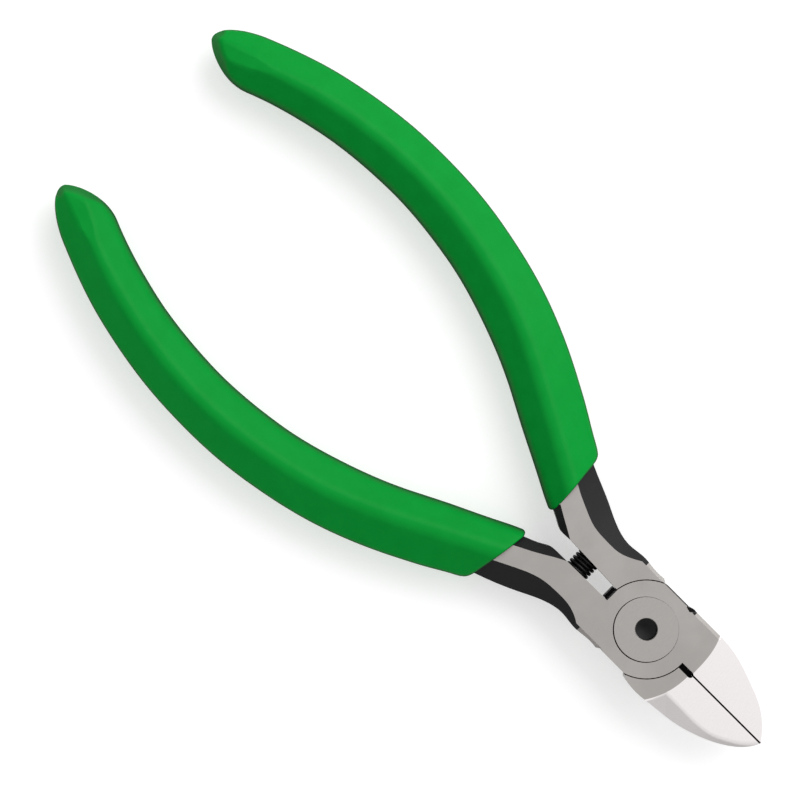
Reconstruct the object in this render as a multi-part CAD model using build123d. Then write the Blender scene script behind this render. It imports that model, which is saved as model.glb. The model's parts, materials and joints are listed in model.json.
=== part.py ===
from build123d import *
import math
import os

# Flush cut pliers of the 5 inch class: two forged halves on one rivet, a coil spring between the
# arms and a dipped vinyl sleeve on each tang. Millimetres. Everything is drawn about the pivot axis,
# with the joint's mid-plane at Z 0, +Y to the jaw tips, +X to the right-hand handle and +Z to the
# flush face. The whole tool is moved to PIVOT last.
PIVOT = (0.59, 40.22, 4.8)

# Head and joint
HALF_T = 3.4            # half the thickness of the head and arms
LAP_GAP = 0.05          # running clearance between the two joint discs
DISC_R = 6.95           # joint disc
RECESS_R = 7.1          # recess that the other half's disc turns in
DISC_FLAT_X = 6.62      # the discs are ground flat at the sides of the head
DISC_LEFT_X = 6.42      # and the upper one a little further on its free side
SIDE_CHAMFER = 0.5
NICK_FLOOR = 1.2        # height of the floor of the nick in the left shoulder
WEB_END_Y = -7.4        # the lower half's web closes the slot between the arms
WEB_HALF_X = 0.98

# Rivet
RIVET_HEAD_R, RIVET_HEAD_T = 4.6, 1.0
RIVET_SHANK_R, RIVET_TAIL_R = 3.0, 4.0
RIVET_DIMPLE_R, RIVET_DIMPLE_DEPTH = 1.53, 2.4
RIVET_CLEARANCE = 0.04
RIVET_SEAT_R = 4.7      # the head's seat is bored a little off centre, so its gap shows as a crescent
RIVET_SEAT_SHIFT = (0.08, -0.03)

# Blades
TIP_Y = 22.95
BLADE_GAP = 0.16        # between the closed cutting edges
BLADE_FALL = 4.0        # degrees that the flush face falls towards the tip
BLADE_HEEL = {"left": 9.1, "right": 8.87}       # Y where the ground blade begins
CROWN_R = 290.0         # the flush face is slightly crowned across
RUN_OUT_EASE = 0.8      # the bevel runs out at the heel at this share of its slope
UNDERSIDE_Y, UNDERSIDE_RISE = 5.0, 13.0
EDGE_LAND = 0.3         # height of the flat land at the cutting edge
EDGE_SLANT = 32.0       # degrees that the lands lean, so that they lap when closed
EDGE_HALF_ANGLE = 32.0  # of the V ground from below
BLADE_BEVELS = ((0.36, 8), (0.24, 14), (0.12, 20), (0, 27))    # inset, slope of each facet
SLOT_X, SLOT_R, SLOT_TOP_Y = 0.15, 0.45, 9.4    # relief slot at the heel of the blades
SLOT_DEPTH, SLOT_PLAY = 2.6, 0.02               # its floor belongs to the right jaw
SLOT_LIP = 0.1          # the left jaw closes the parting line this far behind the slot's end

# Return spring
SPRING_Y = -12.7
SPRING_R, WIRE_D, COILS = 1.9, 0.5, 15
POCKET_R, POCKET_DEPTH = 2.05, 3.6
ARM_INNER_X = {"right": 1.12, "left": 1.35}

# Handles: a straight run out of the arm, then one long arc back towards the axis
MOUTH_Y = -21.5
HANDLE_RUN, HANDLE_R = 15.0, 72.0
HANDLE_X = {"right": 6.95, "left": 7.25}
HANDLE_LEAN = {"right": 27.1, "left": 28.2}
GRIP_HALF_T = 4.8
GRIP_FLANK, ARM_FLANK, INNER_FLANK = 41.0, 40.0, 50.0       # slopes, degrees
GRIP_MOUTH = {"right": ((0, -21.1), (40, -27.1)), "left": ((0, -20.9), (40, -23.9))}
TANG_DROP = 0.15        # the flats stop at the sleeve, and the tang is left as forged


def drum(radius, low, high):
    """Upright cylinder on the pivot axis between two heights."""
    return Pos(0, 0, (low + high) / 2) * Cylinder(radius, high - low)


def block(x0, x1, y0, y1, z0, z1):
    """Box between two corners."""
    return Pos((x0 + x1) / 2, (y0 + y1) / 2, (z0 + z1) / 2) * Box(x1 - x0, y1 - y0, z1 - z0)


def slab(edges, half_height):
    """Closed outline of edges raised into a plate about the mid-plane."""
    return Pos(0, 0, -half_height) * extrude(Face(Wire(edges)), 2 * half_height, dir=(0, 0, 1))


def open_line(*points):
    """Straight runs from point to point."""
    return Polyline(*points).edges()


def handle_axis(side, s):
    """Point and outward normal of the handle's centreline, s millimetres from the sleeve's mouth."""
    lean = math.radians(HANDLE_LEAN[side])
    turn = math.radians(90) - lean
    straight = min(s, HANDLE_RUN)
    x = HANDLE_X[side] + straight * math.sin(lean)
    y = MOUTH_Y - straight * math.cos(lean)
    bend = max(s - HANDLE_RUN, 0) / HANDLE_R
    x += HANDLE_R * (math.sin(turn + bend) - math.sin(turn))
    y += HANDLE_R * (math.cos(turn + bend) - math.cos(turn))
    return Vector(x, y), Vector(math.sin(turn + bend), math.cos(turn + bend))


def beside_axis(side, offsets):
    """Points beside the centreline, one for each (distance along, offset outwards)."""
    return [centre + normal * off for (centre, normal), off in
            ((handle_axis(side, s), off) for s, off in offsets)]


def bevel_cutter(edge_points, outward, slope, reach, height=HALF_T, inset=0.0):
    """Solid above a sloping face that leaves the given plan curve at a height and falls outwards.

    outward is +1 where the face lies to the left of the curve's direction and -1 to the right.
    inset moves the whole face back across the curve.
    """
    edge = Spline(*edge_points)
    fractions = [edge.param_at_point(point) for point in edge_points]
    fall = math.tan(math.radians(slope))
    inner, outer = [], []
    for point, fraction in zip(edge_points, fractions):
        along = edge.tangent_at(fraction)
        away = Vector(-along.Y, along.X) * outward
        start = Vector(*point) - away * inset
        inner.append(start - away * 0.3 + Vector(0, 0, height + 0.3 * fall))
        outer.append(start + away * reach + Vector(0, 0, height - reach * fall))
    face = Face.make_surface_from_curves(Edge.make_spline(inner, parameters=fractions),
                                         Edge.make_spline(outer, parameters=fractions))
    return extrude(face, 3 * HALF_T, dir=(0, 0, 1))


def both_faces(cutter):
    """The cutter and its mirror image below the mid-plane."""
    return [cutter, mirror(cutter, about=Plane.XY)]


# ---- joint ---------------------------------------------------------------------------------------

def joint_disc():
    """The upper half's disc, from the lap face up to the flush face."""
    return drum(DISC_R, LAP_GAP / 2, HALF_T) & block(-DISC_FLAT_X, DISC_FLAT_X, -8, 8, 0, HALF_T)


def recess():
    """Room under the upper half's disc for the lower half's disc."""
    return drum(RECESS_R, -2 * HALF_T, LAP_GAP / 2)


def rivet():
    """Flush head, shank and flared tail in one piece, with a blind dimple in the head."""
    dimple_z = HALF_T - RIVET_DIMPLE_DEPTH
    profile = Polyline(
        (0, dimple_z - 0.4), (RIVET_DIMPLE_R, dimple_z), (RIVET_DIMPLE_R, HALF_T - 0.12),
        (RIVET_DIMPLE_R + 0.12, HALF_T), (RIVET_HEAD_R, HALF_T),
        (RIVET_HEAD_R, HALF_T - RIVET_HEAD_T), (RIVET_SHANK_R, HALF_T - RIVET_HEAD_T),
        (RIVET_SHANK_R, 1 - HALF_T), (RIVET_TAIL_R, -HALF_T), (0, -HALF_T), close=True)
    return revolve(Plane.XZ * make_face(profile), Axis.Z)


def rivet_room():
    """Bore and counterbore that the rivet turns in."""
    floor = HALF_T - RIVET_HEAD_T - RIVET_CLEARANCE
    return (drum(RIVET_SHANK_R + RIVET_CLEARANCE, -HALF_T, HALF_T)
            + Pos(*RIVET_SEAT_SHIFT) * drum(RIVET_SEAT_R, floor, 2 * HALF_T))


# ---- arms and tangs ------------------------------------------------------------------------------

ARM_OUTER = [(6.9, -3.3), (6.9, -5.8), (7.05, -7.2), (6.8, -10.0), (7.2, -12.4), (8.95, -16.3),
             (11.1, -21.3)]
ARM_INNER = {
    "right": [(2.9, -21.3), (1.9, -19.0), (1.3, -17.9), (1.15, -17.0)],
    "left": [(2.75, -21.3), (2.0, -19.8), (1.35, -18.4), (1.32, -17.2)],
}
FLANK_OUTER = {
    "right": [(7.9, -5.6), (6.85, -7.0), (5.8, -8.7), (5.25, -10.7), (5.2, -12.6), (5.4, -15.2),
              (6.2, -17.8), (7.3, -20.1)],
    "left": [(8.0, -4.9), (6.95, -6.4), (5.5, -8.9), (4.95, -10.5), (4.85, -12.6), (5.1, -15.6),
             (6.0, -18.0), (6.9, -20.0)],
}
FLANK_INNER = {
    "right": [(0.6, -13.8), (1.2, -15.0), (2.0, -16.5), (2.9, -18.0), (4.2, -20.4)],
    "left": [(0.7, -15.3), (1.4, -16.7), (2.2, -18.1), (3.6, -20.6)],
}
TANG_OUTER = [(5, 3.35), (13, 3.0), (30, 2.9), (50, 2.6), (72, 2.0)]
TANG_INNER = [(72, -2.0), (50, -2.6), (30, -2.9), (13, -3.0), (5, -3.35)]
FLAT_OUTER = [(6, 0.85), (14, 0.8), (30, 0.9), (50, 0.9), (76, 0.7)]
FLAT_INNER = [(6, -2.0), (14, -1.8), (30, -1.4), (50, -1.1), (76, -0.7)]


def sleeved(side, half_height):
    """Everything on the handle's side of the sleeve's mouth, up to a height."""
    near, far = GRIP_MOUTH[side]
    return slab(open_line(near, far, (far[0], -120), (near[0], -120), near), half_height)


def spring_pocket(side):
    """Blind pocket along X for one end of the return spring."""
    floor_x = ARM_INNER_X[side] + POCKET_DEPTH
    return Pos(floor_x / 2, SPRING_Y, 0) * Rot(0, 90, 0) * Cylinder(POCKET_R, floor_x)


def right_arm(side):
    """Arm and tang as drawn on the +X side, full thickness, with its sloping flanks and pocket."""
    inner_x = ARM_INNER_X[side]
    tang_out = beside_axis(side, TANG_OUTER)
    tang_in = beside_axis(side, TANG_INNER)
    outline = [
        *open_line((1.0, -5.5), (4.5, -2.3), (6.3, -2.3), (6.9, -3.3)),
        Spline(*ARM_OUTER, *tang_out).edge(),
        *open_line(tang_out[-1], handle_axis(side, 73)[0], tang_in[0]),
        Spline(*tang_in, *ARM_INNER[side], (inner_x, -15.5)).edge(),
        *open_line((inner_x, -15.5), (1.0, -5.5)),
    ]
    arm = slab(outline, HALF_T)
    outer_edge = [*FLANK_OUTER[side], *beside_axis(side, FLAT_OUTER)]
    inner_edge = [*FLANK_INNER[side], *beside_axis(side, FLAT_INNER)]
    chamfer_x = ARM_OUTER[0][0] - SIDE_CHAMFER
    side_edge = [(chamfer_x, -1.0), (chamfer_x, -4.0), (chamfer_x, -8.0)]
    for cutter in (
            *both_faces(bevel_cutter(outer_edge, 1, ARM_FLANK, 4.2)),
            *both_faces(bevel_cutter(inner_edge, -1, INNER_FLANK, 2.4)),
            *both_faces(bevel_cutter(side_edge, 1, 45, 1.5))):
        arm -= cutter
    arm -= sleeved(side, 2 * HALF_T) - sleeved(side, HALF_T - TANG_DROP)
    return arm - spring_pocket(side)


# ---- jaws ----------------------------------------------------------------------------------------

def tilt_about(y, z, degrees):
    """Turn about a line along X through the given Y and Z."""
    return Pos(0, y, z) * Rot(degrees, 0, 0) * Pos(0, -y, -z)


def parting(side):
    """Everything across the closed cutting edge from one blade, and the V below its land."""
    slant = math.tan(math.radians(EDGE_SLANT))
    top, apex, bottom = HALF_T + 1, HALF_T - EDGE_LAND, -3 * HALF_T
    edge = side * BLADE_GAP / 2
    corner = edge + EDGE_LAND * slant
    foot = corner + side * (apex - bottom) * math.tan(math.radians(EDGE_HALF_ANGLE))
    section = Polyline((edge - slant, top), (corner, apex), (foot, bottom), (-side * 12, bottom),
                       (-side * 12, top), close=True)
    return Pos(0, SLOT_TOP_Y - 1, 0) * extrude(Plane.XZ * make_face(section), 20, dir=(0, 1, 0))


def ground_blade(jaw, side, heel, bottom_bevel):
    """Grind the flush face, the underside, its outer bevel and the cutting edge."""
    flush = tilt_about(heel, HALF_T, -BLADE_FALL)
    under = tilt_about(UNDERSIDE_Y, -HALF_T, UNDERSIDE_RISE)
    crown = Pos(0, heel, HALF_T - CROWN_R) * Rot(90, 0, 0) * Cylinder(CROWN_R, 60)
    jaw -= flush * (block(-12, 12, heel - 3, TIP_Y + 4, 0, 2 * HALF_T) - crown)
    jaw -= under * block(-12, 12, UNDERSIDE_Y, TIP_Y + 4, -3 * HALF_T, -HALF_T)
    jaw -= under * mirror(bevel_cutter(bottom_bevel, -side, 40, 4.5), about=Plane.XY)
    return jaw - ((flush * parting(side)) & block(-12, 12, SLOT_TOP_Y, TIP_Y + 4, -12, 12))


def relief_slot(radius, low, high):
    """Round-ended slot at the heel of the blades, between two heights."""
    end_y = SLOT_TOP_Y - SLOT_R
    shaft = block(SLOT_X - radius, SLOT_X + radius, 5, end_y, low, high)
    return shaft + Pos(SLOT_X, end_y, (low + high) / 2) * Cylinder(radius, high - low)


def shoulder_nick():
    """Blind nick where the left jaw's shoulder meets the disc's free side."""
    outline = open_line((-6.25, 1.8), (-6.05, 2.6), (-6.5, 3.1), (-6.8, 3.4), (-7.4, 3.4),
                        (-7.4, 1.8), (-6.25, 1.8))
    return Pos(0, 0, NICK_FLOOR + HALF_T) * slab(outline, HALF_T)


def left_jaw():
    """Jaw of the upper half."""
    inner_x, lip_x = -BLADE_GAP / 2, BLADE_GAP / 2 - SLOT_PLAY
    side = [(-6.75, 8.0), (-6.3, 12.0), (-5.0, 16.0), (-3.1, 20.0), (-1.5, 21.8), (inner_x, TIP_Y)]
    outline = [
        *open_line((inner_x, TIP_Y), (0.3, TIP_Y), (0.3, SLOT_TOP_Y), (lip_x, SLOT_TOP_Y),
                   (lip_x, SLOT_TOP_Y - SLOT_LIP), (inner_x, SLOT_TOP_Y - SLOT_LIP),
                   (inner_x, 5), (-4, 2.3), (-6.3, 2.05), (-6.65, 2.4), (-6.85, 3.1), (-6.75, 3.5),
                   (-6.75, 8.0)),
        Spline(*side, tangents=((0, 1), (0.85, 0.6))).edge(),
    ]
    bottom_bevel = [(-8.0, 6.6), (-6.2, 7.8), (-4.9, 9.8), (-4.3, 13.0), (-3.5, 16.5),
                    (-2.0, 20.0), (0, 22.6)]
    side_x = SIDE_CHAMFER - 6.75
    side_edge = [(side_x, 1.0), (side_x, 5.0), (side_x, 8.5)]
    jaw = slab(outline, HALF_T) - relief_slot(SLOT_R, -2 * HALF_T, 2 * HALF_T) - shoulder_nick()
    jaw -= bevel_cutter(side_edge, 1, 45, 1.5)
    return ground_blade(jaw, -1, BLADE_HEEL["left"], bottom_bevel)


def right_jaw():
    """Jaw of the lower half."""
    inner_x = BLADE_GAP / 2
    side = [(7.0, 2.7), (7.35, 5.5), (7.1, 8.0), (6.65, 12.0), (5.5, 16.0), (3.45, 20.0),
            (1.9, 21.8), (inner_x, TIP_Y)]
    outline = [
        *open_line((inner_x, TIP_Y), (inner_x, 5), (4, 2.2), (6.35, 2.2), (7.0, 2.7)),
        Spline(*side).edge(),
    ]
    top_bevel = [(4.3, 4.0), (4.3, 8.0), (4.3, 11.0), (4.3, 14.5), (3.95, 17.0), (2.9, 19.4),
                 (1.45, 21.6), (-0.1, 23.0)]
    top_heel = [(9.0, 5.75), (7.5, 6.65), (6.0, 7.55), (4.3, 8.25), (2.0, 8.8), (-8.0, 9.3)]
    bottom_bevel = [(8.4, 6.2), (6.6, 7.6), (5.2, 9.8), (4.6, 13.0), (3.8, 16.5), (2.2, 20.0),
                    (0.1, 22.6)]
    slot_floor = HALF_T - SLOT_DEPTH
    jaw = slab(outline, HALF_T) + relief_slot(SLOT_R - SLOT_PLAY, -HALF_T, slot_floor)
    jaw -= relief_slot(SLOT_R, slot_floor, 2 * HALF_T)
    for inset, slope in BLADE_BEVELS:
        along_blade = bevel_cutter(top_bevel, -1, slope, 4.5, inset=inset)
        run_out = bevel_cutter(top_heel, -1, slope * RUN_OUT_EASE, 18, inset=inset)
        jaw -= tilt_about(BLADE_HEEL["right"], HALF_T, -BLADE_FALL) * (along_blade & run_out)
    return ground_blade(jaw, 1, BLADE_HEEL["right"], bottom_bevel)


# ---- the pieces ----------------------------------------------------------------------------------

def upper_lever():
    """Right-hand tang and arm, the disc on the flush side, and the left jaw."""
    wings = right_arm("right") + left_jaw()
    disc = joint_disc() - block(-8, -DISC_LEFT_X, -8, 2.4, 0, HALF_T) - shoulder_nick()
    return wings - recess() + disc - rivet_room()


def lower_lever():
    """Left-hand tang and arm, the disc on the underside, and the right jaw."""
    underneath = Plane.XY
    wings = mirror(right_arm("left"), about=Plane.YZ) + right_jaw()
    web = block(-WEB_HALF_X, WEB_HALF_X, WEB_END_Y, -5, -HALF_T, -LAP_GAP / 2)
    disc = mirror(joint_disc(), about=underneath) + web
    return wings - mirror(recess(), about=underneath) + disc - rivet()


def return_spring():
    """Open coil lying along X, its ends in the two pockets."""
    margin = POCKET_DEPTH - WIRE_D / 2 - 0.05
    left_x, right_x = -ARM_INNER_X["left"] - margin, ARM_INNER_X["right"] + margin
    path = Helix(pitch=(right_x - left_x) / COILS, height=right_x - left_x,
                 radius=SPRING_R - WIRE_D / 2, center=(left_x, SPRING_Y, 0), direction=(1, 0, 0))
    wire = Plane(origin=path @ 0, z_dir=path % 0) * Circle(WIRE_D / 2)
    return sweep(wire, path=path, is_frenet=True)


def grip(side, lever):
    """Dipped sleeve as drawn on the +X side: six-sided section, hollow where the tang is."""
    outer = beside_axis(side, [(-3, 4.4), (3, 4.65), (12, 4.9), (25, 4.9), (38, 4.7), (52, 4.5),
                               (66, 4.35)])
    tip = beside_axis(side, [(75, 4.2), (80, 4.0), (83.4, 3.3), (85.3, 2.1), (85.4, 0.7),
                             (84.2, -0.9), (82, -2.9), (79, -4.0)])
    inner = beside_axis(side, [(70, -4.3), (52, -4.5), (38, -4.7), (25, -4.9), (12, -4.9),
                               (3, -4.65), (-3, -4.4)])
    outline = [Spline(*outer, *tip, *inner).edge(), Line(inner[-1], outer[0])]
    sleeve = slab(outline, GRIP_HALF_T)
    crest_out = [(-6, 0.3), (5, 0.3), (15, 0.3), (30, 0.5), (50, 0.6), (66, 0.6), (78, 0.4), (90, 0)]
    crest_in = [(-6, -1.3), (5, -1.3), (15, -1.2), (30, -0.9), (50, -0.7), (66, -0.7), (78, -0.6),
                (90, -1)]
    for crest, outward in ((crest_out, 1), (crest_in, -1)):
        cutter = bevel_cutter(beside_axis(side, crest), outward, GRIP_FLANK, 5.2, GRIP_HALF_T)
        for face_cutter in both_faces(cutter):
            sleeve -= face_cutter
    return (sleeve & sleeved(side, GRIP_HALF_T)) - lever


def main():
    """Build every piece, move the tool to its frame and write one STEP for each."""
    left_side = Plane.YZ
    upper, lower = upper_lever(), lower_lever()
    pieces = {
        "upper_lever": upper,
        "lower_lever": lower,
        "pivot_rivet": rivet(),
        "return_spring": return_spring(),
        "right_grip": grip("right", upper),
        "left_grip": mirror(grip("left", mirror(lower, about=left_side)), about=left_side),
    }
    os.makedirs("parts", exist_ok=True)
    for name, piece in pieces.items():
        placed = Pos(*PIVOT) * piece
        placed.label = name
        export_step(placed, f"parts/{name}.step")


main()
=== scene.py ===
"""Flush cut pliers: the looks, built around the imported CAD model.

The forged halves and the rivet are the CAD solids with ground, blued and polished finishes. The dipped
sleeves and the return spring are meshes made here. Lengths below are millimetres from the pivot axis,
with +Y to the jaw tips, and metres once they reach Blender.
"""

import json
import math

import bmesh
import bpy
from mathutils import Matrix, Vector, noise


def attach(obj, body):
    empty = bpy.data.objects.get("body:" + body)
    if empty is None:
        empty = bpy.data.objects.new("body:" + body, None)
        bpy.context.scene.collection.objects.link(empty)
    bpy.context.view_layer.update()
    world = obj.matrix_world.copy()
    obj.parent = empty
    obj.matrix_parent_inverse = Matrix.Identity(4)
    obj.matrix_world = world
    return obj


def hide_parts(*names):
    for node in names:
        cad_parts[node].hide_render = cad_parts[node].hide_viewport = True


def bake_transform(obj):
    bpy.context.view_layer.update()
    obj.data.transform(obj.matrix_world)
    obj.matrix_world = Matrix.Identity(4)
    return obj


MM = 0.001
MERGE = 0.01                    # points closer than this are one

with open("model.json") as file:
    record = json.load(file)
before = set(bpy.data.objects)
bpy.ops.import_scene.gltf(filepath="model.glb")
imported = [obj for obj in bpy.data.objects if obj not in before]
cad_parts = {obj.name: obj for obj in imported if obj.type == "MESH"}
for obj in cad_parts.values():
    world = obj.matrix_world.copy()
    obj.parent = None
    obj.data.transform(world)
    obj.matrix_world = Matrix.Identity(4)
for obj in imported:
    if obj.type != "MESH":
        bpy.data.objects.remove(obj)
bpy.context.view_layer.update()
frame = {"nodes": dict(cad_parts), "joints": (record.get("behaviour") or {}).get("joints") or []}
PIVOT = Vector(frame["joints"][0]["pos_m"])
NODES = frame["nodes"]

# Head
HALF_T = 3.4                    # half the thickness of the head
DIMPLE_R = 1.55                 # blind dimple in the rivet's head

# Places on the levers where the finish changes or where shade is painted dark; a pair is a middle and the
# reach to both sides of it
FLANK_Y, FLANK_LEAN = -6.65, 0.035              # the arms are blued behind this line
SUNK_Z, SUNK_Y = (-1.0, 3.0), 8.8               # floors between these heights, behind this Y, painted dark as shade
SLOT_X, SLOT_Y, SLOT_Z = (0.15, 0.5), (8.1, 1.4), (1.1, 2.15)       # relief slot at the heel, painted dark as shade
LAND_X, LAND_Y = (0.05, 0.3), 9.2               # leaning lands of the cutting edges, ahead of this Y, painted dark as shade
SEAM_X, SEAM_Y = (0.0, 0.13), 9.3               # edges along the parting line, painted dark as the gap's shade
NICK_X, NICK_Y = -5.95, (2.6, 0.85)             # nick in the left shoulder, outside this X, painted dark as shade
RIM_R, SEAT_R = (7.03, 0.14), (4.7, 0.14)       # upright rims of the joint's recess and the rivet's seat, painted dark as shade
WEB_X, WEB_Y = (0.0, 1.0), (-7.25, 0.4)         # the web behind the joint, painted dark as shade
HEEL_SPLIT = 0.1                                # X of the parting line at the heel
LEFT_HEEL, RIGHT_HEEL = (9.1, 3.0, 0.0034), (8.87, 2.4, 0.0176)     # Y on the axis, power and fall
LEVEL, SLOPING, LEANING, WALL = 0.99, 0.97, 0.9, 0.3    # how nearly a face lies flat, 1 being flat

# Handles: a straight run out of the arm, then one long arc back towards the axis
MOUTH_Y = -21.5
HANDLE_RUN, HANDLE_R = 15.0, 72.0
HANDLE_X = {"right": 6.95, "left": 7.25}
HANDLE_LEAN = {"right": 27.1, "left": 28.2}
MOUTH_LINE = {"right": (-21.1, -0.15), "left": (-20.9, -0.075)}     # Y on the axis, and slope

# Sleeves: half-widths, crest and thickness along the handle, as (distance from the mouth, value)
SIDE_OUTER = [(-3, 4.42), (3, 4.65), (12, 4.88), (25, 4.88), (38, 4.7), (52, 4.48), (66, 4.32), (78, 4.15)]
SIDE_INNER = [(-3, 4.4), (3, 4.6), (12, 4.8), (25, 4.85), (38, 4.65), (52, 4.48), (66, 4.3), (78, 4.15)]
CREST_OUTER = [(-3, 0.3), (15, 0.3), (30, 0.5), (50, 0.6), (66, 0.6), (78, 0.4)]
CREST_INNER = [(-3, 1.3), (15, 1.2), (30, 0.9), (50, 0.7), (66, 0.7), (78, 0.6)]
GRIP_HALF_T = 4.8
HALF_HEIGHT = [(-3, GRIP_HALF_T), (50, GRIP_HALF_T), (66, 4.75), (78, 4.4)]
FLANK_SLOPE = math.radians(41)
SIDE_SHARE = 0.28               # an upright side is at least this share of the half-height
CREST_DRAW, SIDE_DRAW = 0.37, 0.46      # how far an inset draws in the crest's and the sides' corners
ROUND_SHARE = 0.48              # a rounding takes up at most this share of a side
CREST_R, OUTER_R, INNER_R = 3.0, 1.4, 3.2       # roundings of the crest and of the two sides
TIP_S, TIP_LENGTH = 78.0, 7.45  # the closed end starts here and is this long
TIP_APEX = 1.3                  # its furthest point lies this far outside the centreline
TIP_CURVE = (0.92, 1.45)        # fullness of the end's outer and inner outline
TIP_DROP, TIP_LAST = 0.3, 0.02  # fullness of its height, and the size of its last ring
TIP_FACET = (74.0, 4.75, 0.15)  # the crest flattens from here, at this height, falling at this slope
TIP_CAP_R, TIP_CAP_LOW = 1.7, 0.9       # the end's upper edge is rounded over this far, to this height
MOUTH_CORNER = {1: 0.22, -1: 0.5}       # how quickly the mouth draws back at its outer and inner side
MOUTH_STRAIGHT = 3.3            # the mouth is straight this far to each side of the centreline
MOUTH_FADE = 16.0               # the slant of the mouth has faded out this far along the handle
LIP_R = 0.42                    # rounded lip at the mouth
LIP_DEPTH = 1.7                 # the wall at the mouth reaches this far in, past the tang's skin
LIP_FACE, LIP_BACK = 0.35, 1.2  # flat ring inside the lip, and how far its inner skin goes back
RING_STEP = 0.8
DIP_WAVE = 0.015                # unevenness of the dipped skin
SWELL_LONG, SWELL_SHORT, SHORT_SHARE = 0.09, 0.4, 0.3   # its two scales, and the second one's share

# Return spring
SPRING_Y = -12.7
SPRING_R, WIRE_R, COILS = 1.9, 0.25, 15
POCKET_DEPTH, POCKET_PLAY = 3.6, 0.05
POCKET_MOUTH = {"left": -1.35, "right": 1.12}


# ---- helpers -------------------------------------------------------------------------------------

def place(x, y, z):
    """Row-frame point in metres from millimetres about the pivot."""
    return PIVOT + Vector((x, y, z)) * MM


def between(table, s):
    """Smooth interpolation in a short table of (station, value)."""
    if s <= table[0][0]:
        return table[0][1]
    for (s0, v0), (s1, v1) in zip(table, table[1:]):
        if s <= s1:
            t = (s - s0) / (s1 - s0)
            return v0 + (v1 - v0) * t * t * (3 - 2 * t)
    return table[-1][1]


def link_object(name, mesh):
    """Put a mesh in the scene under its name."""
    piece = bpy.data.objects.new(name, mesh)
    bpy.context.collection.objects.link(piece)
    return piece


def mesh_from(name, verts, faces):
    """Smooth-shaded mesh with outward normals, its coinciding points merged."""
    mesh = bpy.data.meshes.new(name)
    mesh.from_pydata(verts, [], faces)
    working = bmesh.new()
    working.from_mesh(mesh)
    bmesh.ops.remove_doubles(working, verts=working.verts, dist=MERGE * MM)
    bmesh.ops.recalc_face_normals(working, faces=working.faces)
    working.to_mesh(mesh)
    working.free()
    mesh.polygons.foreach_set("use_smooth", [True] * len(mesh.polygons))
    return mesh


# ---- sleeves -------------------------------------------------------------------------------------

def handle_axis(side, s):
    """Point and outward normal of the handle's centreline, s from the sleeve's mouth, on the +X side."""
    lean = math.radians(HANDLE_LEAN[side])
    turn = math.pi / 2 - lean
    run = min(s, HANDLE_RUN)
    bend = max(s - HANDLE_RUN, 0) / HANDLE_R
    x = HANDLE_X[side] + run * math.sin(lean) + HANDLE_R * (math.sin(turn + bend) - math.sin(turn))
    y = MOUTH_Y - run * math.cos(lean) + HANDLE_R * (math.cos(turn + bend) - math.cos(turn))
    return x, y, math.sin(turn + bend), math.cos(turn + bend)


def mouth_shift(side, off):
    """How far along the handle the slanting mouth lies, at an offset from the centreline."""
    level, slope = MOUTH_LINE[side]
    x, y, nx, ny = handle_axis(side, 0)
    lean = math.radians(HANDLE_LEAN[side])
    above = (y + off * ny) - (level + slope * (x + off * nx))
    corner = MOUTH_CORNER[1 if off > 0 else -1] * max(abs(off) - MOUTH_STRAIGHT, 0.0) ** 2
    return above / (math.cos(lean) + slope * math.sin(lean)) + corner


def rounded_ring(corners, arc_steps=7, side_steps=4):
    """Points round a polygon whose corners (x, z, radius) are rounded off."""
    ring = []
    count = len(corners)
    for i, (x, z, radius) in enumerate(corners):
        here = Vector((x, z))
        back = Vector(corners[i - 1][:2]) - here
        ahead = Vector(corners[(i + 1) % count][:2]) - here
        half_turn = (math.pi - back.angle(ahead)) / 2
        longest = ROUND_SHARE * min(back.length, ahead.length)
        reach = min(radius * math.tan(half_turn), longest)
        start, end = here + back.normalized() * reach, here + ahead.normalized() * reach
        for step in range(arc_steps):
            t = step / (arc_steps - 1)
            ring.append(start * (1 - t) ** 2 + here * 2 * t * (1 - t) + end * t ** 2)
        ring.append(None)       # a straight side follows
    closed = []
    for i, point in enumerate(ring):
        if point is not None:
            closed.append(point)
            continue
        before, after = ring[i - 1], ring[(i + 1) % len(ring)]
        closed += [before.lerp(after, k / (side_steps + 1)) for k in range(1, side_steps + 1)]
    return closed


def sleeve_section(outer, inner, crest_outer, crest_inner, half_height, inset=0.0, shrink=1.0):
    """Eight-sided rounded section as (offset, height) points.

    inset moves every side in by that much, and shrink scales the roundings.
    """
    fall = math.tan(FLANK_SLOPE)
    least = SIDE_SHARE * half_height
    side_out = max(half_height - (outer - crest_outer) * fall, least)
    side_in = max(half_height - (inner - crest_inner) * fall, least)
    out, inn, top = outer - inset, inner - inset, half_height - inset
    edge_out, edge_in = crest_outer - CREST_DRAW * inset, crest_inner - CREST_DRAW * inset
    low_out = max(side_out - SIDE_DRAW * inset, 0.1)
    low_in = max(side_in - SIDE_DRAW * inset, 0.1)
    crest_r, outer_r, inner_r = (max(r * shrink - inset, 0.15) for r in (CREST_R, OUTER_R, INNER_R))
    return rounded_ring([
        (edge_out, top, crest_r), (out, low_out, outer_r), (out, -low_out, outer_r),
        (edge_out, -top, crest_r), (-edge_in, -top, crest_r), (-inn, -low_in, inner_r),
        (-inn, low_in, inner_r), (-edge_in, top, crest_r),
    ])


def tip_widths(left):
    """Outer and inner width of the closed end where this share of its fullness is left."""
    outer = TIP_APEX + (SIDE_OUTER[-1][1] - TIP_APEX) * left ** TIP_CURVE[0]
    inner = -TIP_APEX + (SIDE_INNER[-1][1] + TIP_APEX) * left ** TIP_CURVE[1]
    return outer, inner


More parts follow.
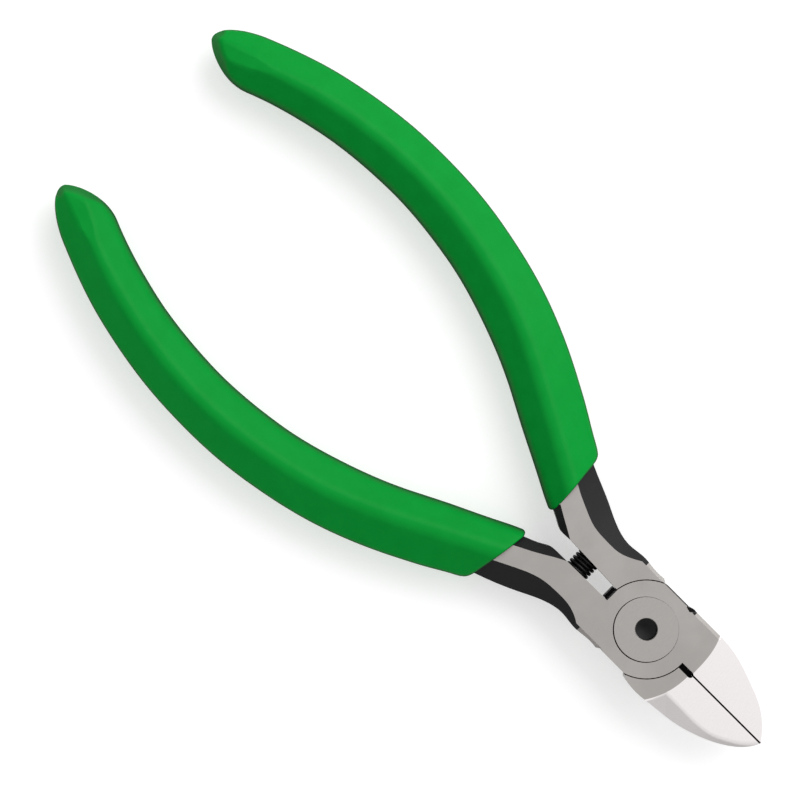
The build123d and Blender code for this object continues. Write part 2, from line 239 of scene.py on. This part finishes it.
def tip_edge():
    """Plan outline of the closed end, as (distance along, offset) points."""
    steps = 48
    turns = [math.pi / 2 * k / steps for k in range(steps + 1)]
    far_end = turns[2 * steps // 3:-1]
    inner = [Vector((TIP_S + TIP_LENGTH * math.sin(t), -tip_widths(math.cos(t))[1])) for t in turns]
    outer = [Vector((TIP_S + TIP_LENGTH * math.sin(t), tip_widths(math.cos(t))[0])) for t in far_end]
    return inner + outer[::-1]


def distance_to(edge, point):
    """Shortest distance from a point to a line of straight runs."""
    shortest = math.inf
    for start, end in zip(edge, edge[1:]):
        run = end - start
        share = max(0.0, min(1.0, (point - start).dot(run) / run.length_squared))
        shortest = min(shortest, (point - start - run * share).length)
    return shortest


def tip_ceiling(edge, s, off):
    """Greatest half-height of the closed end at a place, from its facet and its rounded edge."""
    start, height, slope = TIP_FACET
    facet = height - slope * max(s - start, 0.0)
    inside = min(distance_to(edge, Vector((s, off))) / TIP_CAP_R, 1.0)
    return TIP_CAP_LOW + (facet - TIP_CAP_LOW) * math.sin(math.pi / 2 * inside)


def sleeve_rings(side):
    """Rings of (x, y, z) from inside the mouth, over the lip and along to the closed end."""
    rings = []
    edge = tip_edge()

    def add(s, section, fade):
        """Lay a section across the handle, slanted with the mouth by fade."""
        ring = []
        for off, height in section:
            if s > TIP_FACET[0]:
                height = math.copysign(min(abs(height), tip_ceiling(edge, s, off)), height)
            x, y, nx, ny = handle_axis(side, s + fade * mouth_shift(side, off))
            ring.append(Vector((x + off * nx, y + off * ny, height)))
        rings.append(ring)

    def section_at(s, inset=0.0):
        """The sleeve's section at a station along the handle."""
        tables = (SIDE_OUTER, SIDE_INNER, CREST_OUTER, CREST_INNER, HALF_HEIGHT)
        return sleeve_section(*(between(table, s) for table in tables), inset=inset)

    for inset, s in ((LIP_DEPTH, LIP_BACK), (LIP_DEPTH, 0.0), (LIP_R + LIP_FACE, 0.0)):
        add(s, section_at(s, inset), 1.0)
    for step in range(7):
        turn = math.pi / 2 * step / 6
        add(LIP_R * (1 - math.cos(turn)), section_at(0, LIP_R * (1 - math.sin(turn))), 1.0)
    count = round((TIP_S - LIP_R) / RING_STEP)
    for step in range(1, count + 1):
        s = LIP_R + (TIP_S - LIP_R) * step / count
        add(s, section_at(s), max(0.0, 1 - s / MOUTH_FADE) ** 2)
    crest_outer, crest_inner = CREST_OUTER[-1][1], CREST_INNER[-1][1]
    half_height = HALF_HEIGHT[-1][1]
    steps = 28
    for step in range(1, steps + 1):
        turn = math.pi / 2 * step / steps
        left = max(math.cos(turn), TIP_LAST)
        section = sleeve_section(
            *tip_widths(left), TIP_APEX + (crest_outer - TIP_APEX) * left,
            -TIP_APEX + (crest_inner + TIP_APEX) * left, half_height * left ** TIP_DROP, shrink=left)
        add(TIP_S + TIP_LENGTH * math.sin(turn), section, 0.0)
    return rings


def make_sleeve(side, body, node):
    """Dipped vinyl sleeve: one closed skin with a rounded lip and a blunt closed end."""
    sign = 1 if side == "right" else -1
    rings = sleeve_rings(side)
    count = len(rings[0])
    verts = []
    for ring in rings:
        middle = sum(ring, Vector()) / count
        for point in ring:
            ripple = noise.noise(point * SWELL_SHORT + Vector((9, 0, 0)))
            swell = noise.noise(point * SWELL_LONG) + SHORT_SHARE * ripple
            grown = point + (point - middle).normalized() * DIP_WAVE * swell
            height = max(-GRIP_HALF_T, min(GRIP_HALF_T, grown.z))
            verts.append(place(sign * grown.x, grown.y, height))
    faces = []
    for r in range(len(rings) - 1):
        for i in range(count):
            j = (i + 1) % count
            faces.append((r * count + i, r * count + j, (r + 1) * count + j, (r + 1) * count + i))
    faces.append(tuple(range(count)))
    last = (len(rings) - 1) * count
    faces.append(tuple(last + i for i in reversed(range(count))))
    sleeve = link_object(f"{side}_sleeve", mesh_from(f"{side}_sleeve", verts, faces))
    sleeve.data.materials.append(VINYL)
    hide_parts(node)
    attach(sleeve, body)


# ---- return spring -------------------------------------------------------------------------------

def make_spring():
    """Coil spring of even pitch, its ends inside the two arms' pockets."""
    margin = POCKET_DEPTH - WIRE_R - POCKET_PLAY
    left_x, right_x = POCKET_MOUTH["left"] - margin, POCKET_MOUTH["right"] + margin
    per_coil, sides = 28, 12
    total = COILS * per_coil
    coil_r = SPRING_R - WIRE_R
    verts, faces = [], []
    for k in range(total + 1):
        turn = 2 * math.pi * k / per_coil
        x = left_x + (right_x - left_x) * k / total
        radial = Vector((0, math.cos(turn), math.sin(turn)))
        centre = Vector((x, SPRING_Y, 0)) + radial * coil_r
        for i in range(sides):
            a = 2 * math.pi * i / sides
            verts.append(place(*(centre + (radial * math.cos(a) + Vector((math.sin(a), 0, 0))) * WIRE_R)))
    for k in range(total):
        for i in range(sides):
            j = (i + 1) % sides
            faces.append((k * sides + i, k * sides + j, (k + 1) * sides + j, (k + 1) * sides + i))
    faces.append(tuple(range(sides)))
    faces.append(tuple(total * sides + i for i in reversed(range(sides))))
    spring = link_object("coil_spring", mesh_from("coil_spring", verts, faces))
    spring.data.materials.append(SPRING_STEEL)
    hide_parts("return_spring")
    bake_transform(spring)


# ---- materials -----------------------------------------------------------------------------------

class Shader:
    """One material and the short calls that build its node graph."""

    def __init__(self, name):
        self.material = bpy.data.materials.new(name)
        self.material.use_nodes = True
        self.tree = self.material.node_tree
        self.surface = self.tree.nodes["Principled BSDF"]
        where = self.add("ShaderNodeTexCoord").outputs["Object"]
        shifted = self.vector("SUBTRACT", where, tuple(PIVOT))
        self.point = self.vector("MULTIPLY", shifted, (1 / MM, 1 / MM, 1 / MM))
        split = self.add("ShaderNodeSeparateXYZ")
        self.feed(split.inputs[0], self.point)
        self.x, self.y, self.z = split.outputs

    def add(self, kind, **settings):
        """New node with its settings."""
        node = self.tree.nodes.new(kind)
        for key, value in settings.items():
            setattr(node, key, value)
        return node

    def feed(self, socket, value):
        """Link a socket, or set its value."""
        if isinstance(value, bpy.types.NodeSocket):
            self.tree.links.new(value, socket)
        else:
            socket.default_value = value

    def vector(self, operation, a, b):
        """Vector arithmetic."""
        node = self.add("ShaderNodeVectorMath", operation=operation)
        self.feed(node.inputs[0], a)
        self.feed(node.inputs[1], b)
        return node.outputs["Vector"]

    def math(self, operation, a, b=0.0):
        """Number arithmetic."""
        node = self.add("ShaderNodeMath", operation=operation)
        self.feed(node.inputs[0], a)
        self.feed(node.inputs[1], b)
        return node.outputs[0]

    def above(self, value, limit):
        """1 where a value exceeds a limit."""
        return self.math("GREATER_THAN", value, limit)

    def below(self, value, limit):
        """1 where a value stays under a limit."""
        return self.math("LESS_THAN", value, limit)

    def near(self, value, middle, reach):
        """1 where a value lies within reach of a middle one."""
        return self.below(self.math("ABSOLUTE", self.math("SUBTRACT", value, middle)), reach)

    def all_of(self, *masks):
        """1 where every mask is 1."""
        whole = masks[0]
        for mask in masks[1:]:
            whole = self.math("MULTIPLY", whole, mask)
        return whole

    def any_of(self, *masks):
        """1 where at least one mask is 1."""
        whole = masks[0]
        for mask in masks[1:]:
            whole = self.math("MAXIMUM", whole, mask)
        return whole

    def ramp(self, value, low, high, start=0.0, end=1.0):
        """Smooth step of a value from low to high."""
        node = self.add("ShaderNodeMapRange", interpolation_type="SMOOTHSTEP", clamp=True)
        for socket, number in zip(node.inputs, (value, low, high, start, end)):
            self.feed(socket, number)
        return node.outputs[0]

    def noise(self, stretch, scale, detail=3.0, roughness=0.5):
        """Noise over the piece, in millimetres, with its axes stretched."""
        stretched = self.vector("MULTIPLY", self.point, stretch)
        node = self.add("ShaderNodeTexNoise")
        self.feed(node.inputs["Vector"], stretched)
        self.feed(node.inputs["Scale"], scale)
        self.feed(node.inputs["Detail"], detail)
        self.feed(node.inputs["Roughness"], roughness)
        return node.outputs["Fac"]

    def grain(self):
        """Fine grinding marks, drawn out across the tool."""
        return self.noise((0.6, 9.0, 9.0), 2.2, 4.0, 0.6)

    def mix(self, factor, a, b):
        """Colour mix."""
        node = self.add("ShaderNodeMix", data_type="RGBA")
        self.feed(node.inputs["Factor"], factor)
        self.feed(node.inputs["A"], a)
        self.feed(node.inputs["B"], b)
        return node.outputs["Result"]

    def blend(self, factor, a, b):
        """Number mix."""
        node = self.add("ShaderNodeMix", data_type="FLOAT")
        self.feed(node.inputs["Factor"], factor)
        self.feed(node.inputs["A"], a)
        self.feed(node.inputs["B"], b)
        return node.outputs["Result"]

    def facing_up(self, normal="True Normal"):
        """How nearly a face lies flat: 1 on the ground flats, 0 on upright walls."""
        split = self.add("ShaderNodeSeparateXYZ")
        self.feed(split.inputs[0], self.add("ShaderNodeNewGeometry").outputs[normal])
        return self.math("ABSOLUTE", split.outputs["Z"])

    def radius(self):
        """Distance from the pivot axis."""
        squares = self.math("ADD", self.math("MULTIPLY", self.x, self.x),
                            self.math("MULTIPLY", self.y, self.y))
        return self.math("SQRT", squares)

    def bump(self, height, distance, strength):
        """Surface relief from a height, its full depth in millimetres."""
        node = self.add("ShaderNodeBump")
        self.feed(node.inputs["Height"], height)
        self.feed(node.inputs["Distance"], distance * MM)
        self.feed(node.inputs["Strength"], strength)
        self.feed(self.surface.inputs["Normal"], node.outputs["Normal"])


def colour(red, green, blue):
    """Linear colour from 8-bit sRGB numbers."""
    def linear(value):
        value /= 255
        return value / 12.92 if value <= 0.04045 else ((value + 0.055) / 1.055) ** 2.4
    return (linear(red), linear(green), linear(blue), 1.0)


SATIN, BRIGHT, BLUED = colour(168, 164, 161), colour(243, 238, 238), colour(24, 24, 25)
SATIN_DARK = colour(161, 157, 154)
GAP_SHADE_COLOUR = colour(6, 6, 6)           # painted shade: the dark of gaps and bores
SATIN_ROUGH = (0.36, 0.46)


def lever_material():
    """Ground satin flats, bright ground blades, blued flanks, and painted shade in the gaps, told apart by
    place.
    """
    s = Shader("ground_and_blued_steel")
    flat = s.facing_up()
    grain = s.grain()
    speck = s.noise((1, 1, 1), 7.0, 3.0, 0.6)
    cloud = s.noise((1, 1, 1), 0.18, 2.0)
    level, leaning, wall = s.above(flat, LEVEL), s.below(flat, LEANING), s.below(flat, WALL)

    # blued flanks of the arms, behind the head
    behind = s.below(s.math("ADD", s.y, s.math("MULTIPLY", s.x, FLANK_LEAN)), FLANK_Y)
    flank = s.math("MULTIPLY", behind, s.below(flat, SLOPING))

    # painted shade: gaps, bores, sunk floors, lands, rims, the web and the seam are coloured near-black
    # for the shade in them
    sunk = s.all_of(level, s.above(s.z, SUNK_Z[0]), s.below(s.z, SUNK_Z[1]), s.below(s.y, SUNK_Y))
    slot = s.all_of(s.near(s.x, *SLOT_X), s.near(s.y, *SLOT_Y), s.near(s.z, *SLOT_Z))
    land = s.all_of(s.near(s.x, *LAND_X), s.above(s.y, LAND_Y), leaning)
    nick = s.all_of(s.below(s.x, NICK_X), s.near(s.y, *NICK_Y), leaning)
    rim = s.all_of(s.near(s.radius(), *RIM_R), wall)
    seat = s.all_of(s.near(s.radius(), *SEAT_R), wall)
    web = s.all_of(s.near(s.x, *WEB_X), s.near(s.y, *WEB_Y))
    seam = s.all_of(s.near(s.x, *SEAM_X), s.above(s.y, SEAM_Y))
    gap_shade = s.any_of(sunk, slot, land, nick, rim, seat, web, seam)

    # the ground blades begin at a curve on each side
    across = s.math("ABSOLUTE", s.x)

    def heel_line(level_y, power, fall):
        """Y of the curve, from its distance to the axis."""
        return s.math("SUBTRACT", level_y, s.math("MULTIPLY", s.math("POWER", across, power), fall))

    heel = s.blend(s.above(s.x, HEEL_SPLIT), heel_line(*LEFT_HEEL), heel_line(*RIGHT_HEEL))
    blade = s.ramp(s.math("SUBTRACT", s.y, heel), -0.05, 0.05)

    # colours and roughness
    satin = s.mix(s.ramp(cloud, 0.3, 0.7), SATIN, SATIN_DARK)
    bright = s.mix(s.ramp(grain, 0.3, 0.7), BRIGHT, colour(237, 232, 232))
    blued = s.mix(s.ramp(speck, 0.35, 0.75), BLUED, colour(31, 30, 32))
    steel = s.mix(blade, satin, bright)
    # painted shade laid over the steel and the blued flanks
    s.feed(s.surface.inputs["Base Color"], s.mix(gap_shade, s.mix(flank, steel, blued), GAP_SHADE_COLOUR))
    blued_or_gap_shade = s.any_of(flank, gap_shade)
    s.feed(s.surface.inputs["Metallic"], s.blend(blued_or_gap_shade, 1.0, 0.0))
    s.surface.inputs["Specular IOR Level"].default_value = 0.16
    rough_satin = s.ramp(grain, 0.25, 0.75, *SATIN_ROUGH)
    rough_steel = s.blend(blade, rough_satin, s.ramp(grain, 0.25, 0.75, 0.26, 0.33))
    rough_blued = s.ramp(speck, 0.3, 0.7, 0.45, 0.6)
    s.feed(s.surface.inputs["Roughness"], s.blend(blued_or_gap_shade, rough_steel, rough_blued))
    relief = s.math("ADD", s.math("MULTIPLY", grain, 0.6), s.math("MULTIPLY", speck, 0.4))
    s.bump(relief, 0.01, 0.35)
    return s.material


def rivet_material():
    """Flush-ground head with faint turning marks, and painted shade in its dimple."""
    s = Shader("rivet_steel")
    rings = s.math("SINE", s.math("MULTIPLY", s.radius(), 22.0))
    grain = s.grain()
    # painted shade: the dimple is coloured near-black, not metallic, for the shade in it
    dimple = s.all_of(s.below(s.radius(), DIMPLE_R), s.above(s.z, 0.0))
    face = s.mix(s.ramp(grain, 0.3, 0.7), SATIN, SATIN_DARK)
    s.feed(s.surface.inputs["Base Color"], s.mix(dimple, face, GAP_SHADE_COLOUR))
    s.feed(s.surface.inputs["Metallic"], s.blend(dimple, 1.0, 0.0))
    rough_face = s.ramp(grain, 0.25, 0.75, *SATIN_ROUGH)
    s.feed(s.surface.inputs["Roughness"], s.blend(dimple, rough_face, 0.6))
    s.bump(s.math("ADD", s.math("MULTIPLY", rings, 0.12), grain), 0.01, 0.3)
    return s.material


def spring_material():
    """Blued music wire with lighter worn specks spread over it."""
    s = Shader("blued_wire")
    speck = s.noise((1, 1, 1), 6.0, 3.0, 0.6)
    wire = s.mix(s.ramp(speck, 0.45, 0.75), colour(20, 20, 22), colour(48, 47, 49))
    s.feed(s.surface.inputs["Base Color"], wire)
    s.surface.inputs["Metallic"].default_value = 0.6
    s.feed(s.surface.inputs["Roughness"], s.ramp(speck, 0.3, 0.7, 0.3, 0.45))
    s.bump(speck, 0.01, 0.3)
    return s.material


def vinyl_material():
    """Dipped PVC: even green, with painted shade making its upright sides deeper, and a soft orange-peel
    skin.
    """
    s = Shader("dipped_vinyl")
    mottle = s.noise((1, 1, 1), 0.35, 3.0, 0.55)
    peel = s.noise((1, 1, 1), 1.6, 2.0, 0.5)
    pores = s.noise((1, 1, 1), 9.0, 2.0, 0.5)
    top = s.mix(s.ramp(mottle, 0.25, 0.75), colour(3, 131, 44), colour(5, 135, 47))
    # painted shade: the upright sides get a much darker green for the shade that falls on them
    side = s.mix(s.ramp(mottle, 0.25, 0.75), colour(1, 58, 17), colour(2, 62, 19))
    upper = s.ramp(s.facing_up("Normal"), 0.1, 0.76)
    s.feed(s.surface.inputs["Base Color"], s.mix(upper, side, top))
    s.feed(s.surface.inputs["Roughness"], s.blend(upper, 0.75, s.ramp(peel, 0.3, 0.7, 0.3, 0.37)))
    s.surface.inputs["Specular IOR Level"].default_value = 0.05
    relief = s.math("ADD", peel, s.math("MULTIPLY", pores, 0.12))
    s.bump(relief, 0.05, 0.35)
    return s.material


def paint(node, material):
    """Give a CAD node its material."""
    piece = NODES[node]
    piece.data.materials.clear()
    piece.data.materials.append(material)


# ---- studio --------------------------------------------------------------------------------------

VIEW_SPAN = 0.1134              # width of the picture at the tool, in metres
VIEW_CENTRE = (1.70, -47.70)    # from the pivot
VIEW_TURN = math.radians(135)   # jaws to the lower right
LENS, SENSOR = 200.0, 36.0
SKY_LOW, SKY_HIGH = 0.06, 0.95
SKY_FROM, SKY_TO = -0.1, 1.0    # the dome brightens between these heights
FLOOR_SIZE = 4.0                # metres
KEY_AT, KEY_SIZE, KEY_POWER = (-0.67, 0.0, 0.52), 0.9, 7.8      # metres and watts


def make_floor():
    """Plain pale floor that the tool lies on."""
    bpy.ops.mesh.primitive_plane_add(size=FLOOR_SIZE)
    floor = bpy.context.object
    floor.name = "floor"
    shader = Shader("pale_floor")
    shader.surface.inputs["Base Color"].default_value = (0.55, 0.55, 0.55, 1)
    shader.surface.inputs["Roughness"].default_value = 0.9
    shader.surface.inputs["Emission Color"].default_value = (1, 1, 1, 1)
    shader.surface.inputs["Emission Strength"].default_value = 0.5
    floor.data.materials.append(shader.material)


def make_light(name, at, size, power):
    """Soft rectangular light that faces the tool."""
    data = bpy.data.lights.new(name, "AREA")
    data.energy, data.size = power, size
    light = bpy.data.objects.new(name, data)
    bpy.context.collection.objects.link(light)
    target = PIVOT + Vector((0, VIEW_CENTRE[1], 0)) * MM
    light.location = target + Vector(at)
    light.rotation_euler = (target - light.location).to_track_quat("-Z", "Y").to_euler()


def make_sky():
    """Soft white dome, brightest overhead."""
    world = bpy.data.worlds.new("studio")
    world.use_nodes = True
    nodes, links = world.node_tree.nodes, world.node_tree.links
    height = nodes.new("ShaderNodeSeparateXYZ")
    links.new(nodes.new("ShaderNodeTexCoord").outputs["Generated"], height.inputs[0])
    dome = nodes.new("ShaderNodeMapRange")
    dome.interpolation_type = "SMOOTHSTEP"
    for socket, number in zip(dome.inputs[1:5], (SKY_FROM, SKY_TO, SKY_LOW, SKY_HIGH)):
        socket.default_value = number
    links.new(height.outputs["Z"], dome.inputs[0])
    background = nodes["Background"]
    background.inputs["Color"].default_value = (1, 1, 1, 1)
    links.new(dome.outputs[0], background.inputs["Strength"])
    bpy.context.scene.world = world


def make_studio():
    """World, light and the camera straight above the tool."""
    scene = bpy.context.scene
    make_sky()
    make_light("key_softbox", KEY_AT, KEY_SIZE, KEY_POWER)
    camera_data = bpy.data.cameras.new("camera")
    camera_data.lens, camera_data.sensor_width = LENS, SENSOR
    camera = bpy.data.objects.new("camera", camera_data)
    scene.collection.objects.link(camera)
    distance = VIEW_SPAN * LENS / SENSOR
    camera.location = place(*VIEW_CENTRE, HALF_T) + Vector((0, 0, distance))
    camera.rotation_euler = (0, 0, VIEW_TURN)
    scene.camera = camera
    scene.view_settings.view_transform = "Standard"


# ---- the object ----------------------------------------------------------------------------------

VINYL = vinyl_material()
SPRING_STEEL = spring_material()
LEVER_STEEL = lever_material()

make_floor()
make_studio()
paint("upper_lever", LEVER_STEEL)
paint("lower_lever", LEVER_STEEL)
paint("pivot_rivet", rivet_material())
make_sleeve("right", "upper_half", "right_grip")
make_sleeve("left", "lower_half", "left_grip")
make_spring()
